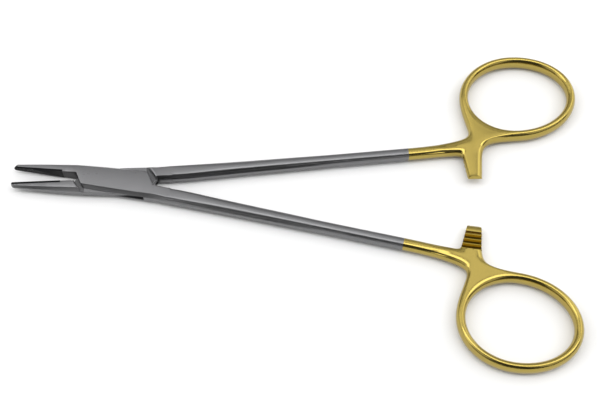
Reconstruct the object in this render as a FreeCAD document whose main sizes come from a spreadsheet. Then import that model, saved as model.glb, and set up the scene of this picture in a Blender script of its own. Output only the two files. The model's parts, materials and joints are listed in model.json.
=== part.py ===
"""Surgical needle holder with a box lock, in millimetres.

The origin is where the pivot axis meets the plane that the tool lies on. +X runs to the finger rings,
+Z is up, and at rest the two arms stand open by the same angle on either side of X.
Each arm is drawn closed, along X, as its jaw below the line and its shank and ring above it. The tongue
arm is used like that (side +1) and the box arm is the mirror image (side -1).
"""

import FreeCAD, Part
import math
import os
import Sketcher

Vector = FreeCAD.Vector

# How far a cut runs past what it cuts
MARGIN = 1.0

SIZES = [
    # The whole tool
    ("box_thickness", 4.2, "height of the box lock, and of the whole tool as it lies"),
    ("open_angle", 4.45, "how far each arm is turned open at rest, in degrees"),
    # The jaws, measured from the gripping line outwards
    ("jaw_reach", 27.45, "pivot to jaw tip"),
    ("nose_length", 0.85, "length of the rounded nose of a jaw"),
    ("nose_share", 0.42, "size of the nose's end as a share of the jaw there"),
    ("nose_swell", 0.35, "place of the nose's middle section, as a share of its length from the end"),
    ("tip_gap", 0.04, "gap between the closed jaws at the tip"),
    ("root_gap", 0.7, "gap between the closed jaws at the box"),
    ("tip_top_width", 0.86, "width of a jaw's flat top behind the nose"),
    ("tip_side_width", 1.42, "full width of a jaw behind the nose"),
    ("tip_half_height", 0.68, "half the jaw's height behind the nose"),
    ("tip_edge_height", 0.22, "half height of the jaw's outer side behind the nose"),
    ("mid_jaw_reach", 19.0, "pivot to the section halfway along the jaw"),
    ("mid_jaw_top_width", 1.72, "width of the flat top there"),
    ("mid_jaw_side_width", 2.34, "full width there"),
    ("mid_jaw_half_height", 1.36, "half height there"),
    ("mid_jaw_edge_height", 0.48, "half height of the outer side there"),
    # The hard inserts
    ("insert_length", 13.2, "length of an insert from the jaw's tip"),
    ("insert_depth", 0.45, "depth of an insert into the jaw"),
    # The box lock
    ("box_jaw_end", 10.7, "pivot to the section where the jaws start"),
    ("box_shank_end", 11.0, "pivot to the section where the shanks start"),
    ("box_jaw_top", 2.48, "half width of the flat top at the jaw end"),
    ("box_jaw_side", 3.2, "half of the full width at the jaw end"),
    ("box_mid_top", 2.9, "half width of the flat top at the pivot"),
    ("box_mid_side", 3.75, "half of the full width at the pivot"),
    ("box_shank_top", 3.07, "half width of the flat top at the shank end"),
    ("box_shank_side", 3.95, "half of the full width at the shank end"),
    ("tongue_thickness", 1.4, "thickness of the tongue, the middle layer of the lock"),
    ("layer_gap", 0.05, "running gap over and under the tongue"),
    ("shoulder_angle", 35.0, "angle of the line across the shoulders of the tongue, in degrees"),
    ("shoulder_distance", 9.0, "pivot to each shoulder"),
    ("shoulder_chamfer", 0.3, "bevel along the shoulders"),
    ("plate_angle", 32.5, "angle of the line across the free ends of the plates, in degrees"),
    ("plate_distance", 8.55, "pivot to each free end"),
    ("plate_heel", 5.95, "how far a free end runs towards its own arm"),
    ("slot_angle", 33.5, "angle of the line across the end walls of the slot, in degrees"),
    ("slot_distance", 9.05, "pivot to each end wall"),
    ("tongue_gap", 0.12, "gap between the closed tongue and the end walls"),
    ("tongue_heel", 6.5, "how far the tongue's end cut runs towards its own arm"),
    # The pivot pin
    ("pin_radius", 1.5, "radius of the pin's shaft"),
    ("pin_head_radius", 1.85, "radius of the flush ends, spread into the plates"),
    ("pin_head_depth", 0.45, "depth of the spread ends"),
    ("pin_clearance", 0.03, "running gap of the pin in the tongue"),
    # The shanks
    ("shank_offset", 0.86, "where the shank's middle line would cross the pivot"),
    ("shank_slope", 0.0828, "rise of the shank's middle line for each unit of length"),
    ("root_inner_top", 0.6, "inner edge of the flat top where the shank starts"),
    ("root_inner_side", 0.1, "inner side where the shank starts"),
    ("neck_station", 18.0, "pivot to the second section"),
    ("neck_top_width", 2.75, "width of the flat top there"),
    ("neck_side_width", 4.1, "full width there"),
    ("neck_half_height", 1.97, "half height there"),
    ("taper_station", 33.0, "pivot to the section where the taper ends"),
    ("taper_half_height", 1.78, "half height there"),
    ("shank_top_width", 1.75, "width of the flat top past the taper"),
    ("shank_side_width", 2.97, "full width past the taper"),
    ("taper_extra_width", 0.5, "what is left of the taper at its section"),
    ("shank_end_narrowing", 0.2, "how much narrower the shank is where it enters the web"),
    ("shank_half_height", 1.68, "half height past the taper"),
    ("shank_edge_height", 0.6, "half height of the shank's sides"),
    ("shank_station", 55.0, "pivot to the section halfway along the shank"),
    ("shank_end", 89.0, "pivot to the end of the shank inside the web"),
    # The finger rings
    ("ring_x", 106.7, "pivot to the middle of the ring, along X"),
    ("ring_y", 24.18, "closing line to the middle of the ring"),
    ("ring_half_length", 14.35, "half length of the ring's middle line"),
    ("ring_half_width", 11.67, "half width of the ring's middle line"),
    ("ring_egg", 0.86, "how far the widest place lies towards the pivot"),
    ("ring_tilt", 4.07, "angle of the ring to the closing line, in degrees"),
    ("wire_width", 2.4, "width of the ring's section"),
    ("wire_height", 4.0, "height of the ring's section"),
    # The web that joins shank, ring and ratchet bar
    ("web_half_height", 1.7, "half height of the web and the ratchet bar"),
    ("web_rounding", 0.7, "rounding along the web's edges"),
    ("flare_start", 76.0, "pivot to the point where the web starts inside the shank"),
    ("flare_slope", 0.24, "rise of the web's outer line for each unit of length"),
    ("flare_end_y", 11.6, "closing line to the corner between shank and ring"),
    ("web_ring_x", 93.2, "pivot to the corner between shank and ring"),
    ("web_near_angle", 27.0, "angle round the ring where the web starts, from its near end, in degrees"),
    ("web_second_angle", 40.0, "angle to the second point inside the ring's wire"),
    ("web_third_angle", 61.0, "angle to the third point inside the ring's wire"),
    ("web_far_angle", 80.5, "angle round the ring where the web ends"),
    ("web_far_share", 0.45, "how far outside the ring's middle line it ends, as a share of the wire"),
    ("web_ring_end", 92.15, "pivot to the end of the web's line along the ring"),
    ("flare_radius", 2.4, "hollow corner between shank and ring"),
    ("web_inner_y", 6.8, "closing line to the inner line of the web, beside the bar"),
    ("web_inner_start", 80.0, "pivot to the point where the web's inner line leaves the shank"),
    ("web_inner_rise", 0.25, "how much closer to the closing line that point is"),
    ("bar_hollow_radius", 1.4, "hollow corner between shank and ratchet bar"),
    ("ring_hollow_radius", 2.8, "hollow corner between ratchet bar and ring"),
    # The ratchet bars
    ("bar_base_left", 90.65, "pivot to the bar's near side at its base"),
    ("bar_end_left", 91.6, "pivot to the bar's near side at its end"),
    ("bar_base_right", 95.9, "pivot to the bar's far side at its base"),
    ("bar_end_right", 95.35, "pivot to the bar's far side at its end"),
    ("bar_root_y", 9.4, "closing line to the corner between bar and ring"),
    ("bar_overlap", 0.75, "how far a closed bar passes the closing line"),
    ("bar_corner_radius", 0.8, "rounded corners of the bar's end"),
    ("tooth_count", 4, "number of teeth on a bar"),
    ("tooth_pitch", 1.4, "distance from tooth to tooth"),
    ("tooth_crest", 0.3, "how far a tooth reaches past the middle height"),
    ("tooth_root", 0.4, "how deep the teeth are cut below the middle height"),
    ("tooth_face", 0.22, "length of a tooth's steep face"),
    ("land_length", 1.8, "length of the plain end of a bar"),
    ("land_drop", 0.06, "how far the plain end stays below the middle height"),
    ("step_slope", 0.35, "lean of the step behind the teeth"),
    ("step_gap", 0.3, "flat between the last tooth and the step"),
    ("teeth_margin", 0.3, "how far the cut for the teeth runs past each side of the bar"),
]


def size(name):
    """The expression that reads one cell of the sheet."""
    return "<<sizes>>." + name


def make_sheet(document):
    sheet = document.addObject("Spreadsheet::Sheet", "sizes")
    for row, (name, value, note) in enumerate(SIZES, start=1):
        sheet.set(f"A{row}", name)
        sheet.set(f"B{row}", str(value))
        sheet.set(f"C{row}", note)
        sheet.setAlias(f"B{row}", name)
    document.recompute()
    return sheet


def make_body(document, name, side):
    """A body in its closed place, turned about the pivot to its open place at rest."""
    body = document.addObject("PartDesign::Body", name)
    body.Label = name
    body.Placement = FreeCAD.Placement(Vector(0, 0, 1), FreeCAD.Rotation(Vector(0, 0, 1), 1))
    body.setExpression("Placement.Base.z", size("box_thickness") + " / 2")
    body.setExpression("Placement.Rotation.Angle", f"{side} * " + size("open_angle"))
    return body


def make_sketch(body, name, role, axis=Vector(0, 0, 1), **offsets):
    """A sketch on one of the body's own planes. offsets: x, y, z and turn, as expressions."""
    sketch = body.newObject("Sketcher::SketchObject", name)
    planes = [feature for feature in body.Origin.OriginFeatures if feature.Role == role]
    sketch.AttachmentSupport = [(planes[0], "")]
    sketch.MapMode = "FlatFace"
    sketch.AttachmentOffset = FreeCAD.Placement(Vector(), FreeCAD.Rotation(axis, 1))
    sketch.setExpression("AttachmentOffset.Rotation.Angle", offsets.get("turn", "0"))
    for direction in "xyz":
        if direction in offsets:
            sketch.setExpression("AttachmentOffset.Base." + direction, offsets[direction])
    return sketch


def fix_point(sketch, geometry, point, across, up):
    """Two dimensions hold a point at the place that two expressions give."""
    for kind, expression in (("DistanceX", across), ("DistanceY", up)):
        value = float(sketch.evalExpression(expression))
        constraint = Sketcher.Constraint(kind, -1, 1, geometry, point, value)
        number = sketch.addConstraint(constraint)
        sketch.setExpression(f"Constraints[{number}]", expression)


def draw_polygon(sketch, corners):
    """A closed outline through corners that are given as pairs of expressions."""
    places = [Vector(*(float(sketch.evalExpression(term)) for term in corner)) for corner in corners]
    count = len(corners)
    for index in range(count):
        sketch.addGeometry(Part.LineSegment(places[index], places[(index + 1) % count]))
    for index in range(count):
        sketch.addConstraint(Sketcher.Constraint("Coincident", index, 2, (index + 1) % count, 1))
    for index, (across, up) in enumerate(corners):
        fix_point(sketch, index, 1, across, up)


def draw_rectangle(sketch, left, right, low, high):
    draw_polygon(sketch, [(left, low), (right, low), (right, high), (left, high)])


def add_pad(body, name, sketch, length):
    pad = body.newObject("PartDesign::Pad", name)
    pad.Profile = sketch
    pad.SideType = "Symmetric"
    pad.setExpression("Length", length)
    return pad


def add_pocket(body, name, sketch, length):
    """A cut of the given length, half of it on each side of the sketch."""
    pocket = body.newObject("PartDesign::Pocket", name)
    pocket.Profile = sketch
    pocket.SideType = "Symmetric"
    pocket.setExpression("Length", length)
    return pocket


def add_loft(body, name, sketches):
    loft = body.newObject("PartDesign::AdditiveLoft", name)
    loft.Profile = sketches[0]
    loft.Sections = sketches[1:]
    return loft


def round_edges(body, name, wanted, radius):
    """Rounds the edges of the body so far that the test `wanted` picks."""
    body.Document.recompute()
    base = body.Tip
    names = [f"Edge{number}" for number, edge in enumerate(base.Shape.Edges, start=1) if wanted(edge)]
    if not names:
        raise RuntimeError(f"{body.Label}: no edge for {name}")
    feature = body.newObject("PartDesign::Fillet", name)
    feature.Base = (base, names)
    feature.setExpression("Radius", radius)
    return feature


def stands_at(corners, tolerance=0.05):
    """A test for upright edges over one of the given places."""

    def test(edge):
        low, high = edge.Vertexes[0].Point, edge.Vertexes[-1].Point
        upright = abs(low.x - high.x) + abs(low.y - high.y) < tolerance
        return upright and any(abs(low.x - x) + abs(low.y - y) < tolerance for x, y in corners)

    return test


def lies_at_height(height, tolerance=0.01):
    """A test for edges that lie flat at plus or minus the given height."""

    def test(edge):
        box = edge.BoundBox
        flat = box.ZLength < tolerance
        return flat and abs(abs(box.ZMin) - height) < tolerance

    return test


def jaw_section(body, name, side, station, widths, half_height, edge_height, share="1"):
    """Half of a long hexagon: the gripping face, a flat top and bottom, and a bevelled outer side."""
    face = gripping_line(station)
    top = f"({face} + {share} * ({widths[0]} - {face}))"
    outer = f"({face} + {share} * ({widths[1]} - {face}))"
    height = f"({share} * {half_height})"
    edge = f"({share} * {edge_height})"
    sketch = make_sketch(body, name, "YZ_Plane", z=f"-1 * {station}")
    across = [face, top, outer, outer, top, face]
    up = [height, height, edge, f"-1 * {edge}", f"-1 * {height}", f"-1 * {height}"]
    draw_polygon(sketch, [(f"{-side} * {across[i]}", up[i]) for i in range(len(up))])
    return sketch


def gripping_line(station):
    """Distance of the gripping face from the closing line at a distance from the pivot."""
    growth = f"({size('root_gap')} - {size('tip_gap')}) / 2"
    share = f"({size('jaw_reach')} - {station}) / ({size('jaw_reach')} - {size('box_jaw_end')})"
    return f"({size('tip_gap')} / 2 + {growth} * {share})"


def add_jaw(body, side):
    """The jaw from the box to its rounded nose."""
    nose = f"({size('jaw_reach')} - {size('nose_length')})"
    nose_middle = f"({size('jaw_reach')} - {size('nose_length')} * {size('nose_swell')})"
    root_height = f"({size('box_thickness')} / 2)"
    tip = ((size("tip_top_width"), size("tip_side_width")), size("tip_half_height"),
           size("tip_edge_height"))
    middle = ((size("mid_jaw_top_width"), size("mid_jaw_side_width")), size("mid_jaw_half_height"),
              size("mid_jaw_edge_height"))
    root = jaw_section(body, "jaw_root", side, size("box_jaw_end"),
                       (size("box_jaw_top"), size("box_jaw_side")), root_height,
                       f"{size('tongue_thickness')} / 2")
    half_way = jaw_section(body, "jaw_middle", side, size("mid_jaw_reach"), *middle)
    front = jaw_section(body, "jaw_front", side, nose, *tip)
    add_loft(body, "jaw", [root, half_way, front])
    start = jaw_section(body, "nose_start", side, nose, *tip)
    swell = jaw_section(body, "nose_middle", side, nose_middle, *tip,
                        share=f"(1 - {size('nose_swell')} * (1 - {size('nose_share')}))")
    finish = jaw_section(body, "nose_end", side, size("jaw_reach"), *tip, share=size("nose_share"))
    add_loft(body, "nose", [start, swell, finish])


def box_section(body, name, side, station, top, outer, half_height):
    """The long hexagon of the box lock, the same on both sides of the pivot."""
    edge = f"({size('tongue_thickness')} / 2)"
    sketch = make_sketch(body, name, "YZ_Plane", z=station)
    corners = [(top, half_height), (outer, edge), (outer, f"-1 * {edge}"), (top, f"-1 * {half_height}"),
               (f"-1 * {top}", f"-1 * {half_height}"), (f"-1 * {outer}", f"-1 * {edge}"),
               (f"-1 * {outer}", edge), (f"-1 * {top}", half_height)]
    draw_polygon(sketch, [(f"{side} * {across}", up) for across, up in corners])
    return sketch


def add_box(body, side):
    height = f"({size('box_thickness')} / 2)"
    sections = [
        box_section(body, "box_jaw_section", side, f"-1 * {size('box_jaw_end')}", size("box_jaw_top"),
                    size("box_jaw_side"), height),
        box_section(body, "box_pivot_section", side, "0", size("box_mid_top"), size("box_mid_side"),
                    height),
        box_section(body, "box_shank_section", side, size("box_shank_end"), size("box_shank_top"),
                    size("box_shank_side"), height),
    ]
    add_loft(body, "box", sections)


def shank_section(body, name, side, station, inner, outer, half_height, edge_height):
    """An eight sided section. inner and outer are pairs: the flat top's edge and the side."""
    sketch = make_sketch(body, name, "YZ_Plane", z=station)
    low, edge_low = f"-1 * {half_height}", f"-1 * {edge_height}"
    corners = [(inner[0], half_height), (outer[0], half_height), (outer[1], edge_height),
               (outer[1], edge_low), (outer[0], low), (inner[0], low), (inner[1], edge_low),
               (inner[1], edge_height)]
    draw_polygon(sketch, [(f"{side} * ({across})", up) for across, up in corners])
    return sketch


def add_shank(body, side):
    """The long tapering shank, through five sections along its middle line."""
    height = f"({size('box_thickness')} / 2)"
    edge = size("shank_edge_height")
    sections = [shank_section(body, "shank_root", side, size("box_shank_end"),
                              (size("root_inner_top"), size("root_inner_side")),
                              (size("box_shank_top"), size("box_shank_side")), height,
                              f"({size('tongue_thickness')} / 2)")]
    tapered = (f"({size('shank_top_width')} + {size('taper_extra_width')})",
               f"({size('shank_side_width')} + {size('taper_extra_width')})")
    plain = (size("shank_top_width"), size("shank_side_width"))
    narrow = (f"({size('shank_top_width')} - {size('shank_end_narrowing')})",
              f"({size('shank_side_width')} - {size('shank_end_narrowing')})")
    stations = [
        ("shank_neck", "neck_station", (size("neck_top_width"), size("neck_side_width")),
         "neck_half_height"),
        ("shank_taper", "taper_station", tapered, "taper_half_height"),
        ("shank_middle", "shank_station", plain, "shank_half_height"),
        ("shank_finish", "shank_end", narrow, "shank_half_height"),
    ]
    for name, station, (top, full), half_height in stations:
        middle = f"{size('shank_offset')} + {size('shank_slope')} * {size(station)}"
        inner = (f"{middle} - {top} / 2", f"{middle} - {full} / 2")
        outer = (f"{middle} + {top} / 2", f"{middle} + {full} / 2")
        sections.append(shank_section(body, name, side, size(station), inner, outer, size(half_height),
                                      edge))
    add_loft(body, "shank", sections)


def beside_ring(angle, outwards="0"):
    """A place on the ring's middle line or outside it, at an angle from its near end."""
    length = f"({size('ring_half_length')} + {outwards})"
    width = f"({size('ring_half_width')} + {outwards})"
    return (f"{size('ring_x')} - {length} * cos({size(angle)} * 1deg)",
            f"{size('ring_y')} - {width} * sin({size(angle)} * 1deg)")


def add_web(body, side):
    """The flat forging between shank, ring and ratchet bar, with hollow corners and rounded edges."""
    flare_x = size("flare_start")
    shank_y = f"({size('shank_offset')} + {size('shank_slope')} * {flare_x})"
    ring_line = size("web_ring_x")
    corner_y = size("flare_end_y")
    flare_y = f"({corner_y} - {size('flare_slope')} * ({ring_line} - {flare_x}))"
    outline = [
        (flare_x, f"({shank_y} + {flare_y}) / 2"),
        (ring_line, corner_y),
        (size("web_ring_end"), beside_ring("web_near_angle")[1]),
        beside_ring("web_second_angle"),
        beside_ring("web_third_angle"),
        beside_ring("web_far_angle", f"{size('web_far_share')} * {size('wire_width')}"),
        (size("bar_base_right"), size("bar_root_y")),
        (size("bar_end_right"), f"-1 * {size('bar_overlap')}"),
        (size("bar_end_left"), f"-1 * {size('bar_overlap')}"),
        (size("bar_base_left"), size("web_inner_y")),
        (size("web_inner_start"), f"{size('web_inner_y')} - {size('web_inner_rise')}"),
    ]
    sketch = make_sketch(body, "web_outline", "XY_Plane")
    draw_polygon(sketch, [(across, f"{side} * ({up})") for across, up in outline])
    add_pad(body, "web", sketch, f"2 * {size('web_half_height')}")
    places = [(line.StartPoint.x, line.StartPoint.y) for line in sketch.Geometry]
    round_edges(body, "flare_corner", stands_at([places[1]]), size("flare_radius"))
    round_edges(body, "ring_corner", stands_at([places[6]]), size("ring_hollow_radius"))
    round_edges(body, "bar_end_corners", stands_at(places[7:9]), size("bar_corner_radius"))
    round_edges(body, "bar_corner", stands_at([places[9]]), size("bar_hollow_radius"))
    height = float(sketch.evalExpression(size("web_half_height")))
    round_edges(body, "web_edges", lies_at_height(height), size("web_rounding"))


def add_teeth(body, side, up):
    """Saw teeth across the bar, cut from above (up = 1) or from below (up = -1)."""
    count = int(float(body.evalExpression(size("tooth_count"))))
    first = f"({size('land_length')} - {size('bar_overlap')})"
    root = f"{-up} * {size('tooth_root')}"
    end = f"-1 * ({size('bar_overlap')} + {MARGIN})"
    outline = [(end, f"{-up} * {size('land_drop')}"),
               (first, f"{-up} * {size('land_drop')}")]
    for index in range(count):
        outline.append((f"{first} + {index} * {size('tooth_pitch')}", root))
        crest_y = f"{first} + {index + 1} * {size('tooth_pitch')} - {size('tooth_face')}"
        outline.append((crest_y, f"{up} * {size('tooth_crest')}"))
    last = f"{first} + {count} * {size('tooth_pitch')}"
    step = f"{last} + {size('step_gap')}"
    beyond = f"{up} * ({size('web_half_height')} + {MARGIN})"
    outline += [(last, root), (step, root), (f"{step} + {size('step_slope')}", beyond), (end, beyond)]
    middle = f"({size('bar_base_left')} + {size('bar_base_right')}) / 2"
    sketch = make_sketch(body, "teeth_outline", "YZ_Plane", z=middle)
    draw_polygon(sketch, [(f"{side} * ({across})", height) for across, height in outline])
    width = f"{size('bar_base_right')} - {size('bar_base_left')} + 2 * {size('teeth_margin')}"
    add_pocket(body, "teeth", sketch, width)


def draw_ellipse(sketch, middle, along, up, start=None):
    """An ellipse with its axes along the sketch's own, or the half of it that starts at an angle.

    middle, along and up are expressions: the place of its middle along X, and its half sizes.
    """
    place, half_along, half_up = (float(sketch.evalExpression(term)) for term in (middle, along, up))
    if half_along > half_up:
        curve = Part.Ellipse(Vector(place, 0), half_along, half_up)
        measured = (along, up)
        turned = 0
    else:
        curve = Part.Ellipse(Vector(place, half_up), Vector(place - half_along, 0), Vector(place, 0))
        measured = (up, along)
        turned = math.pi / 2
    if start is not None:
        curve = Part.ArcOfEllipse(curve, start - turned, start - turned + math.pi)
    number = sketch.addGeometry(curve)
    fix_point(sketch, number, 3, middle, "0")
    sketch.exposeInternalGeometry(number)
    lies = "Horizontal" if half_along > half_up else "Vertical"
    sketch.addConstraint(Sketcher.Constraint(lies, number + 1))
    for axis, length in enumerate(measured, start=number + 1):
        value = 2 * float(sketch.evalExpression(length))
        rule = sketch.addConstraint(Sketcher.Constraint("Distance", axis, value))
        sketch.setExpression(f"Constraints[{rule}]", f"2 * {length}")
    if start is not None:
        for end in (1, 2):
            sketch.addConstraint(Sketcher.Constraint("Vertical", number, end, number, 3))


def add_ring(body, side):
    """An oval wire along an egg shaped line made of two half ellipses."""
    turn = f"{side} * {size('ring_tilt')}"
    path = make_sketch(body, "ring_line", "XY_Plane", turn=turn, x=size("ring_x"),
                       y=f"{side} * {size('ring_y')}")
    middle = f"-1 * {size('ring_egg')}"
    near = f"({size('ring_half_length')} - {size('ring_egg')})"
    far = f"({size('ring_half_length')} + {size('ring_egg')})"
    draw_ellipse(path, middle, near, size("ring_half_width"), math.pi / 2)
    draw_ellipse(path, middle, far, size("ring_half_width"), -math.pi / 2)
    profile = make_sketch(body, "ring_section", "XZ_Plane", axis=Vector(0, 1, 0), turn=turn,
                          x=size("ring_x"), z=f"{-side} * {size('ring_y')}")
    draw_ellipse(profile, f"-1 * {size('ring_half_length')}", f"({size('wire_width')} / 2)",
                 f"({size('wire_height')} / 2)")
    ring = body.newObject("PartDesign::AdditivePipe", "ring")
    ring.Profile = profile
    ring.Spine = (path, ["Edge1", "Edge2"])
    return ring


def add_forging(body, side, teeth_up):
    """Everything that both arms share: ring, web, ratchet bar, shank, box and jaw in one piece."""
    add_web(body, side)
    add_teeth(body, side, teeth_up)
    add_ring(body, side)
    add_shank(body, side)
    add_box(body, side)
    add_jaw(body, side)


def cut_strip(body, name, turn, near, far, low, high, layer=None):
    """Cuts a strip across the box: between two distances along a line turned by an angle.

    layer is None for the full height, or a pair of expressions: the strip's middle and its height.
    """
    middle, height = layer or ("0", f"2 * {size('box_thickness')}")
    sketch = make_sketch(body, name + "_outline", "XY_Plane", turn=turn, z=middle)
    draw_rectangle(sketch, near, far, low, high)
    return add_pocket(body, name, sketch, height)


def cut_ends(body, name, side, angle, distance, heel):
    """Cuts both ends past a distance, as far as the arm's own jaw and shank."""
    turn = f"{-side} * {angle}"
    past = f"({distance} + {size('box_mid_side')} + {MARGIN})"
    low, high = f"{-side} * 2 * {size('box_shank_end')}", f"{side} * {heel}"
    cut_strip(body, name + "_shank_side", turn, distance, past, low, high)
    cut_strip(body, name + "_jaw_side", turn, f"-1 * {past}", f"-1 * {distance}",
              f"{-side} * {heel}", f"{side} * 2 * {size('box_shank_end')}")


def draw_seat(sketch, side, others):
    """An outline with the seat of the insert as its first two corners, drawn as seen from above."""
    end = f"({size('jaw_reach')} - {size('insert_length')})"
    past = f"({size('jaw_reach')} + {MARGIN})"
    corners = [(x, f"{gripping_line(x)} + {size('insert_depth')}") for x in (past, end)]
    corners += others(past, end)
    draw_polygon(sketch, [(f"-1 * {across}", f"{-side} * ({up})") for across, up in corners])


def cut_rebate(body, side):
    """The rebate for the insert, open along the gripping face and at the tip."""
    sketch = make_sketch(body, "rebate_outline", "XY_Plane")
    draw_seat(sketch, side, lambda past, end: [(end, f"-{MARGIN}"), (past, f"-{MARGIN}")])
    add_pocket(body, "rebate", sketch, f"2 * {size('box_thickness')}")


def draw_pin(sketch):
    """Half of the pin's section: a shaft with both ends spread flush with the plates."""
    half = f"({size('box_thickness')} / 2)"
    neck = f"({half} - {size('pin_head_depth')})"
    shaft, head = size("pin_radius"), size("pin_head_radius")
    draw_polygon(sketch, [("0", f"-1 * {half}"), (head, f"-1 * {half}"), (shaft, f"-1 * {neck}"),
                          (shaft, neck), (head, half), ("0", half)])


def add_turned(body, kind, name):
    """A revolved pin, or the hole that fits it (kind Groove)."""
    sketch = make_sketch(body, name + "_section", "XZ_Plane")
    draw_pin(sketch)
    turned = body.newObject("PartDesign::" + kind, name)
    turned.Profile = sketch
    turned.ReferenceAxis = (sketch, ["V_Axis"])
    turned.Angle = 360
    return turned


def cut_shoulder_bevels(body, turn, reach):
    """Bevels the outer corners of both shoulders, above and below, with triangular cuts along them."""
    bevel = size("shoulder_chamfer")
    for across in (1, -1):
        for up in (1, -1):
            corners = [(-1, -2), (2, 1), (-1, 1)]
            name = f"bevel_{'shank' if across > 0 else 'jaw'}_{'top' if up > 0 else 'bottom'}"
            sketch = make_sketch(body, name + "_outline", "XZ_Plane", axis=Vector(0, 1, 0), turn=turn)
            draw_polygon(sketch, [(f"{across} * ({size('shoulder_distance')} + {x} * {bevel})",
                                   f"{up} * ({size('box_thickness')} / 2 + {z} * {bevel})")
                                  for x, z in corners])
            add_pocket(body, name, sketch, f"2 * {reach}")


def make_box_arm(document):
    """The female arm: two plates over a slot, and the lower half of the ratchet with its teeth up."""
    side = -1
    body = make_body(document, "box_arm", side)
    add_forging(body, side, 1)
    reach = f"2 * {size('box_shank_end')}"
    slot = f"({size('tongue_thickness')} + 2 * {size('layer_gap')})"
    cut_strip(body, "slot", f"{side} * {size('slot_angle')}", f"-1 * {size('slot_distance')}",
              size("slot_distance"), f"-1 * {reach}", reach, ("0", slot))
    cut_ends(body, "plate_end", side, size("plate_angle"), size("plate_distance"), size("plate_heel"))
    add_turned(body, "Groove", "pin_hole")
    cut_rebate(body, side)
    return body


def make_tongue_arm(document):
    """The male arm: a thin tongue between two shoulders, and the upper half of the ratchet."""
    side = 1
    body = make_body(document, "tongue_arm", side)
    add_forging(body, side, -1)
    turn = f"{side} * {size('shoulder_angle')}"
    reach = f"2 * {size('box_shank_end')}"
    for name, sign in (("above", 1), ("below", -1)):
        height = f"({size('box_thickness')} / 2)"
        middle = f"{sign} * ({size('tongue_thickness')} / 2 + {height} / 2)"
        cut_strip(body, "shoulders_" + name, turn, f"-1 * {size('shoulder_distance')}",
                  size("shoulder_distance"), f"-1 * {reach}", reach, (middle, height))
    cut_shoulder_bevels(body, turn, reach)
    closed_end = f"({size('slot_distance')} - {size('tongue_gap')})"
    cut_ends(body, "tongue_end", side, size("slot_angle"), closed_end, size("tongue_heel"))
    hole = make_sketch(body, "hole_outline", "XY_Plane")
    hole.addGeometry(Part.Circle(Vector(), Vector(0, 0, 1), 1))
    hole.addConstraint(Sketcher.Constraint("Coincident", 0, 3, -1, 1))
    number = hole.addConstraint(Sketcher.Constraint("Radius", 0, 1))
    hole.setExpression(f"Constraints[{number}]", f"{size('pin_radius')} + {size('pin_clearance')}")
    add_pocket(body, "pivot_hole", hole, f"2 * {size('box_thickness')}")
    cut_rebate(body, side)
    return body


def make_insert(document, name, side):
    """The hard strip in a jaw: the jaw's own form, cut down to the rebate."""
    body = make_body(document, name, side)
    add_jaw(body, side)
    behind = f"{size('box_jaw_side')} + {MARGIN}"
    sketch = make_sketch(body, "jaw_behind_outline", "XY_Plane")
    draw_seat(sketch, side, lambda past, end: [(end, f"-{MARGIN}"), ("0", f"-{MARGIN}"),
                                               ("0", behind), (past, behind)])
    add_pocket(body, "jaw_behind", sketch, f"2 * {size('box_thickness')}")
    return body


def make_pin(document):
    """The rivet of the box lock. It is held by the box arm's plates and turns with them."""
    body = make_body(document, "pivot_pin", -1)
    add_turned(body, "Revolution", "pin")
    return body


def check(document, pieces):
    """Stops if any object failed, or any piece isn't one sound solid."""
    failed = [item.Name for item in document.Objects if "Invalid" in item.State or "Error" in item.State]
    if failed:
        raise RuntimeError("these objects failed: " + ", ".join(failed))
    for piece in pieces:
        shape = piece.Shape
        if shape.isNull() or not shape.isValid() or len(shape.Solids) != 1:
            raise RuntimeError(f"{piece.Label} isn't one sound solid")


def main():
    document = FreeCAD.newDocument("needle_holder")
    make_sheet(document)
    pieces = [
        make_box_arm(document),
        make_tongue_arm(document),
        make_pin(document),
        make_insert(document, "box_jaw_insert", -1),
        make_insert(document, "tongue_jaw_insert", 1),
    ]
    document.recompute()
    check(document, pieces)
    os.makedirs("parts", exist_ok=True)
    for piece in pieces:
        piece.Shape.exportStep(f"parts/{piece.Label}.step")
        box = piece.Shape.BoundBox
        print(f"{piece.Label}: {piece.Shape.Volume:.1f} mm3, X {box.XMin:.2f} to {box.XMax:.2f},"
              f" Y {box.YMin:.2f} to {box.YMax:.2f}, Z {box.ZMin:.2f} to {box.ZMax:.2f}")


main()
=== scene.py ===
"""The looks of a surgical needle holder: satin steel arms, gold plated ring ends and dark gripping inserts.

Each arm is worked on at the bench: in millimetres, closed along X with its jaw to the left, its shank and
ring on the upper side, and its middle height at zero. Then it goes to its place, opened and in metres.
"""

import json
import math
from contextlib import contextmanager

import bmesh
import bpy
from bpy.props import FloatProperty, FloatVectorProperty, IntProperty, PointerProperty
from mathutils import Matrix, Vector


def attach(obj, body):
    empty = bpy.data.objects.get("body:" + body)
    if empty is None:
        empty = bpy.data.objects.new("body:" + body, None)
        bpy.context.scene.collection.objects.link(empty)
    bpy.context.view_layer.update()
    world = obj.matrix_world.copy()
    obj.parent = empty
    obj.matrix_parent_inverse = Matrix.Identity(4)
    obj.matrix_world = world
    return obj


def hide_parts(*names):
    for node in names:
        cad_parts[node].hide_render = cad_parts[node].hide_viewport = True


bl_info = {
    "name": "Surgical needle holder",
    "version": (1, 0, 0),
    "blender": (4, 5, 0),
    "location": "View3D > Sidebar > Needle holder",
    "description": "Builds a needle holder with a box lock, a ratchet and two finger rings",
    "category": "Object",
}

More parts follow.
